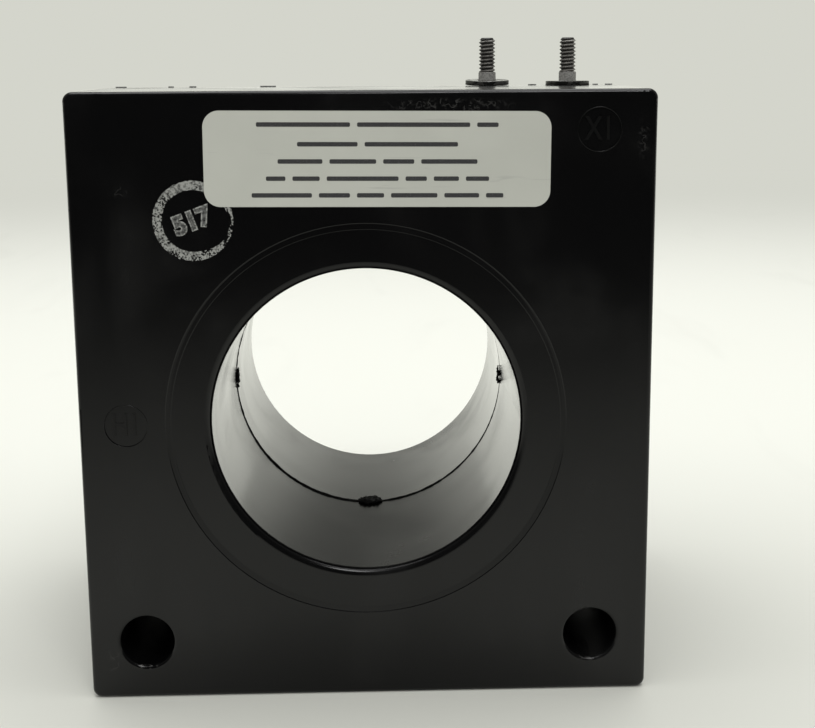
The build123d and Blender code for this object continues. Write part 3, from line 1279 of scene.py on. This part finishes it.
@dataclass
class Terminal:
    """One terminal: a threaded screw that stands in the seam, and its washer."""

    side: Side
    crest_radius: float = 2.4 * MM
    root_radius: float = 1.86 * MM
    pitch: float = 1.0583 * MM
    thread_steps: int = 36
    stud_height: float = 14.0 * MM
    tip_chamfer: float = 0.75 * MM
    tip_room: float = 0.2 * MM
    overlap: float = 0.5 * MM
    shank_radius: float = 2.56 * MM
    shank_height: float = 4.1 * MM
    shank_round: float = 0.35 * MM
    shank_knee: float = 0.1 * MM
    shank_sink: float = 0.4 * MM
    head_height: float = 3.2 * MM
    head_flats: float = 8.0 * MM
    head_bevel: float = 0.25 * MM
    round_steps: int = 48
    washer_bore: float = 2.72 * MM
    washer_bevel: float = 0.22 * MM
    washer_steps: int = 72
    washer_tilts: ClassVar[dict[Side, float]] = {Side.LEFT: 3.4, Side.RIGHT: 0.0}
    washer_metal: DullSteel = DullSteel("washer_metal", (0.17, 0.17, 0.16), (0.05, 0.048, 0.042), 0.24, 900.0)

    def build(self) -> None:
        """Model the screw and the washer."""
        node = f"terminal_screw_{self.side.value}"
        low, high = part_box(node)
        axis = ((low.x + high.x) / 2, (low.y + high.y) / 2)
        tip = high.z
        land = tip - self.stud_height
        shank_top = land + self.shank_height
        screw = self.thread(axis, shank_top - self.overlap, tip)
        Bench.combine(screw, self.shank(axis, low.z, shank_top), "UNION")
        Bench.smooth(screw, 32.0)
        screw.name = f"threaded_screw_{self.side.value}"
        metal = ThreadSteel(f"thread_metal_{self.side.value}", axis, self.crest_radius, self.root_radius)
        place_piece(screw, metal, [node])
        self.washer(axis, land)

    def thread(self, axis: Pair, low: float, tip: float) -> bpy.types.Object:
        """Threaded stem with a chamfered tip.

        Args:
            axis: X and Y of the screw.
            low: Height of the stem's lower end.
            tip: Height of its tip.

        Returns:
            The stem, closed.
        """
        x, y = axis
        start = low - 1.5 * self.pitch
        root, crest = self.root_radius, self.crest_radius
        profile = ((root, 0.0), (root, 0.12), (crest, 0.47), (crest, 0.6), (root, 0.95), (root, 1.0))
        stem = Bench.draw("stem", [(x + radius, y, start + share * self.pitch) for radius, share in profile])
        Bench.only(stem)
        bpy.context.scene.cursor.location = (x, y, start)
        bpy.ops.object.origin_set(type="ORIGIN_CURSOR")
        Bench.modify(
            stem,
            "SCREW",
            axis="Z",
            angle=2 * math.pi,
            screw_offset=self.pitch,
            iterations=math.ceil((tip - start) / self.pitch) + 2,
            steps=self.thread_steps,
            render_steps=self.thread_steps,
            use_merge_vertices=True,
            merge_threshold=1e-6,
        )
        Bench.settle(stem)
        Bench.outward(stem)
        for height, upward in ((low, False), (tip, True)):
            with Bench.editing(stem):
                bpy.ops.mesh.bisect(
                    plane_co=(x, y, height),
                    plane_no=(0, 0, 1),
                    use_fill=True,
                    clear_outer=upward,
                    clear_inner=not upward,
                    threshold=1e-8,
                )
        Bench.outward(stem)
        reach = crest + self.tip_room
        cut = self.tip_chamfer + self.tip_room
        depth = tip - low
        below = -self.overlap
        outline = [(0.0, below), (reach, below), (reach, depth - cut), (reach - cut, depth), (0.0, depth)]
        Bench.combine(stem, Bench.spin("envelope", outline, (x, y, low), self.round_steps), "INTERSECT")
        return stem

    def shank(self, axis: Pair, low: float, top: float) -> bpy.types.Object:
        """Plain shank with the hex head under it.

        Args:
            axis: X and Y of the screw.
            low: Height of the head's lower face.
            top: Height of the shank's top.

        Returns:
            The shank and head, closed.
        """
        x, y = axis
        middle = (x, y, low + self.head_height / 2)
        Bench.clear()
        bpy.ops.mesh.primitive_cylinder_add(
            vertices=6, radius=self.head_flats / math.sqrt(3), depth=self.head_height, location=middle
        )
        head = Bench.adopt("head")
        with Bench.editing(head):
            bpy.ops.transform.rotate(value=math.radians(30), orient_axis="Z", center_override=middle)
        Bench.bevel(head, self.head_bevel, 2, 50.0)
        start = self.head_height - self.shank_sink
        height = top - low
        outline = [
            (0.0, start),
            (self.shank_radius, start),
            (self.shank_radius, height - self.shank_round),
            (self.shank_radius - self.shank_knee, height - self.shank_knee),
            (self.shank_radius - self.shank_round, height),
            (0.0, height),
        ]
        shank = Bench.spin("shank", outline, (x, y, low), self.round_steps)
        Bench.combine(shank, head, "UNION")
        return shank

    def washer(self, axis: Pair, land: float) -> None:
        """Washer with rounded edges, which may lie askew on its front edge.

        Args:
            axis: X and Y of the screw.
            land: Height of the land that it lies on.
        """
        node = f"terminal_washer_{self.side.value}"
        low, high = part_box(node)
        radius = (high.x - low.x) / 2
        thick = high.z - low.z
        outline = [(self.washer_bore, 0.0), (radius, 0.0), (radius, thick), (self.washer_bore, thick)]
        washer = Bench.spin(f"washer_{self.side.value}", outline, (*axis, land), self.washer_steps)
        Bench.bevel(washer, self.washer_bevel, 3, 40.0)
        tilt = math.radians(self.washer_tilts[self.side])
        if tilt:
            front = (axis[0], axis[1] - radius, land)
            with Bench.editing(washer):
                bpy.ops.transform.rotate(value=-tilt, orient_axis="X", center_override=front)
        Bench.smooth(washer, 35.0)
        place_piece(washer, self.washer_metal, [node])


@dataclass
class SeamResin:
    """Resin that ran out of the seam: rough dabs and a bead in the window, and fins along the top."""

    bead_middle: float = 41.05 * MM
    bead_radius: float = 0.6 * MM
    bead_offset: Pair = (0.1 * MM, 0.28 * MM)
    bead_segments: Counts = (256, 12)
    bead_lump: float = 2.2 * MM
    bead_uneven: float = 0.45 * MM
    dab_lump: float = 1.2 * MM
    dab_uneven: float = 1.9 * MM
    dab_shapes: ClassVar[dict[str, Point]] = {
        "right": (0.6, 0.3, 0.95),
        "bottom": (1.2, 0.9, 1.15),
        "left": (0.5, 0.3, 0.95),
        "top": (0.9, 0.9, 0.9),
    }
    resin: CastResin = CastResin()
    # The fins are the black resin painted pale grey: painted highlight, for the light that their thin edges
    # catch from above
    fin_resin_painted_highlight: CastResin = CastResin("fin_resin_painted_highlight", (0.11, 0.11, 0.1), 0.45)

    def build(self) -> None:
        """Model the dabs and the bead, and dress the fins."""
        for side, shares in self.dab_shapes.items():
            self.dab(side, shares)
        self.bead()
        dress_node("top_flash", self.fin_resin_painted_highlight)

    def bead(self) -> None:
        """Uneven bead of resin in the groove of the seam, all round the window."""
        across, up = self.bead_offset
        middle = (across, 0, WINDOW_HEIGHT + up)
        piece = Bench.ring("seam_bead", middle, self.bead_middle, self.bead_radius, self.bead_segments)
        Bench.roughen(piece, self.bead_lump, self.bead_uneven)
        place_piece(piece, self.resin)

    def dab(self, side: str, shares: Point) -> None:
        """One rough dab over the seam, sunk into the wall behind it.

        Args:
            side: Which dab it is.
            shares: Its size along the axes as a share of the CAD node's.
        """
        node = f"resin_dab_{side}"
        low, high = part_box(node)
        size = high - low
        Bench.clear()
        bpy.ops.mesh.primitive_ico_sphere_add(subdivisions=5, radius=0.5, location=(low + high) / 2)
        sphere = bpy.context.view_layer.objects.active
        sphere.scale = [length * share for length, share in zip(size, shares)]
        piece = Bench.adopt(f"rough_dab_{side}")
        Bench.roughen(piece, self.dab_lump, self.dab_uneven, octaves=4)
        place_piece(piece, self.resin, [node])


@dataclass
class Coil:
    """The sealed coil and its leads, which nothing of the outside shows."""

    potting: CastResin = CastResin("potting", (0.008, 0.008, 0.009), 0.3)
    strip: WoundStrip = WoundStrip()
    board: Pressboard = Pressboard()
    wire: EnamelledCopper = EnamelledCopper()
    tape: WovenTape = WovenTape("cotton_tape", (0.7, 0.64, 0.5))
    sleeving: WovenTape = WovenTape("glass_sleeving", (0.72, 0.66, 0.46), 2600.0)
    tinned: DullSteel = DullSteel("tinned_lug", (0.62, 0.62, 0.6), (0.3, 0.29, 0.27), 0.3)

    def build(self) -> None:
        """Dress each sealed node."""
        dress_node("potting_resin", self.potting)
        dress_node("strip_core", self.strip)
        for place in ("outer", "inner", "front", "rear"):
            dress_node(f"core_{place}_board", self.board)
        dress_node("secondary_winding", self.wire)
        dress_node("coil_tape", self.tape)
        for side in Side:
            dress_node(f"lead_wire_{side.value}", self.wire)
            dress_node(f"lead_sleeve_{side.value}", self.sleeving)
            dress_node(f"terminal_lug_{side.value}", self.tinned)


# Studio


@dataclass(frozen=True)
class Lamp:
    """A square soft lamp. Its turn is in degrees, and unturned it shines down."""

    name: str
    place: Point
    turn: Point
    size: float
    watts: float

    def build(self) -> None:
        """Put the lamp in the scene."""
        data = bpy.data.lights.new(self.name, "AREA")
        data.size = self.size
        data.energy = self.watts
        lamp = bpy.data.objects.new(self.name, data)
        lamp.location = self.place
        lamp.rotation_euler = radians(self.turn)
        bpy.context.scene.collection.objects.link(lamp)


@dataclass
class Studio:
    """Camera, pale floor and soft light."""

    camera_place: Point = (0.00464, -0.39807, 0.16721)
    camera_turn: Point = (79.8986, 0.3610, -1.8233)
    sensor: float = 36.0
    lens: float = 58.22
    shift: Pair = (-0.0186, -0.0625)
    clip: Pair = (0.01, 50.0)
    lamps: tuple[Lamp, ...] = (
        Lamp("overhead", (0.0, 0.3, 1.25), (8, 0, 0), 1.1, 9.0),
        Lamp("front", (0.25, -1.05, 1.85), (31, 0, 13), 0.6, 7.5),
    )
    floor_middle: Point = (0, 3.0, -0.1 * MM)
    floor_size: Point = (9.0, 7.4, 1)
    floor_colour: Colour = (0.73, 0.737, 0.67)
    # Paler floor colour behind the case: painted light, for the brighter light on the floor there
    rear_floor_painted_light: Colour = (0.85, 0.86, 0.785)
    tint: Colour = (0.99, 1.0, 0.905)
    painted_light_fade: Pair = (-0.05, 0.22)
    floor_dark: Pair = (-0.9, 0.15)
    floor_glow: Pair = (0.05, 0.35)
    floor_gloss: float = 1.35
    shade_middle: Point = (0, -0.05, 0)
    shade_reach: Point = (0.12, 0.12, 1)
    shade: float = 0.5
    backdrop: float = 0.665
    backdrop_fade: Pair = (0.55, 1.9)
    diffuse_light: float = 0.5
    front_light: float = 0.85
    front_fade: Pair = (-0.9, 0.1)
    patch_size: Pair = (0.39, 0.28)
    patch_edge: Pair = (0.6, 1.2)
    patch_light: float = 1.2
    patch_beyond: float = 0.25
    patch_fade: Pair = (-0.45, 0.1)
    glossy_front: float = 0.015

    def build(self) -> None:
        """Set the camera, floor, lamps, world and view."""
        self.camera()
        self.floor()
        for lamp in self.lamps:
            lamp.build()
        self.world()
        bpy.context.scene.view_settings.view_transform = "Standard"

    def camera(self) -> None:
        """Camera at the photograph's viewing angle."""
        data = bpy.data.cameras.new("camera")
        data.sensor_width = self.sensor
        data.lens = self.lens
        data.shift_x, data.shift_y = self.shift
        data.clip_start, data.clip_end = self.clip
        eye = bpy.data.objects.new("camera", data)
        eye.location = self.camera_place
        eye.rotation_euler = radians(self.camera_turn)
        bpy.context.scene.collection.objects.link(eye)
        bpy.context.scene.camera = eye

    def floor(self) -> None:
        """Pale floor that runs into the backdrop, and for reflections is dark in front and glows behind."""
        Bench.clear()
        bpy.ops.mesh.primitive_plane_add(size=1, location=self.floor_middle)
        bpy.context.view_layer.objects.active.scale = self.floor_size
        plane = Bench.adopt("floor")
        graph = Graph("floor")
        rays = graph.node("ShaderNodeLightPath").outputs
        seen, glossy = rays["Is Camera Ray"], rays["Is Glossy Ray"]
        y = graph.axes()["Y"]
        under = graph.times(graph.spot(self.shade_middle, self.shade_reach, 1.0), self.shade)
        dark = graph.larger(graph.remap(y, *self.floor_dark, 1.0, 0.0), under)
        lit = graph.calc("SUBTRACT", 1.0, graph.times(dark, glossy))
        backdrop = graph.times(graph.remap(y, *self.backdrop_fade), seen)
        bright = graph.times(graph.remap(y, *self.floor_glow), glossy)
        marks = graph.noise(14.0, 5.0, graph.space(scale=(1, 0.3, 1), turn=(0, 0, 25)), distortion=1.0)
        # The floor's colour turns paler behind the case, a painted pool of light
        behind = graph.remap(y, *self.painted_light_fade)
        colour = graph.blend(behind, self.floor_colour, self.rear_floor_painted_light)
        darker = graph.blend(0.05, colour, BLACK)
        colour = graph.blend(graph.remap(marks, 0.55, 0.8), colour, darker)
        near = graph.calc("SUBTRACT", lit, graph.larger(backdrop, bright), clamp=True)
        graph.set("Base Color", graph.blend(near, BLACK, colour))
        graph.set("Roughness", 0.7)
        graph.set("Specular IOR Level", 0.0)
        graph.set("Emission Color", self.tint)
        glow = graph.plus(graph.times(backdrop, self.backdrop), graph.times(bright, self.floor_gloss))
        graph.set("Emission Strength", glow)
        plane.data.materials.append(graph.material)

    def world(self) -> None:
        """Plain light, a pale backdrop, and for reflections a bright patch behind in a dim room."""
        sky = Sky()
        rays = sky.node("ShaderNodeLightPath").outputs
        y = sky.axes()["Y"]
        width, height = self.patch_size
        reach = sky.distance((1 / width, 0.0, 1 / height))
        patch = sky.remap(reach, *self.patch_edge, self.patch_light, self.patch_beyond)
        glow = sky.times(patch, sky.remap(y, *self.patch_fade))
        reflected = sky.background(self.tint, sky.plus(glow, self.glossy_front))
        ahead = sky.remap(y, *self.front_fade, self.front_light, self.diffuse_light)
        shiny = sky.larger(rays["Is Glossy Ray"], rays["Is Transmission Ray"])
        light = sky.choose(shiny, sky.background(WHITE, ahead), reflected)
        whole = sky.choose(rays["Is Camera Ray"], light, sky.background(self.tint, self.backdrop))
        sky.node("ShaderNodeOutputWorld", {"Surface": whole})


def main() -> None:
    """Build everything in order."""
    Studio().build()
    Case().build()
    Label().build()
    Stamp().build()
    for side in Side:
        Terminal(side).build()
    SeamResin().build()
    Coil().build()


if __name__ == "__main__":
    main()
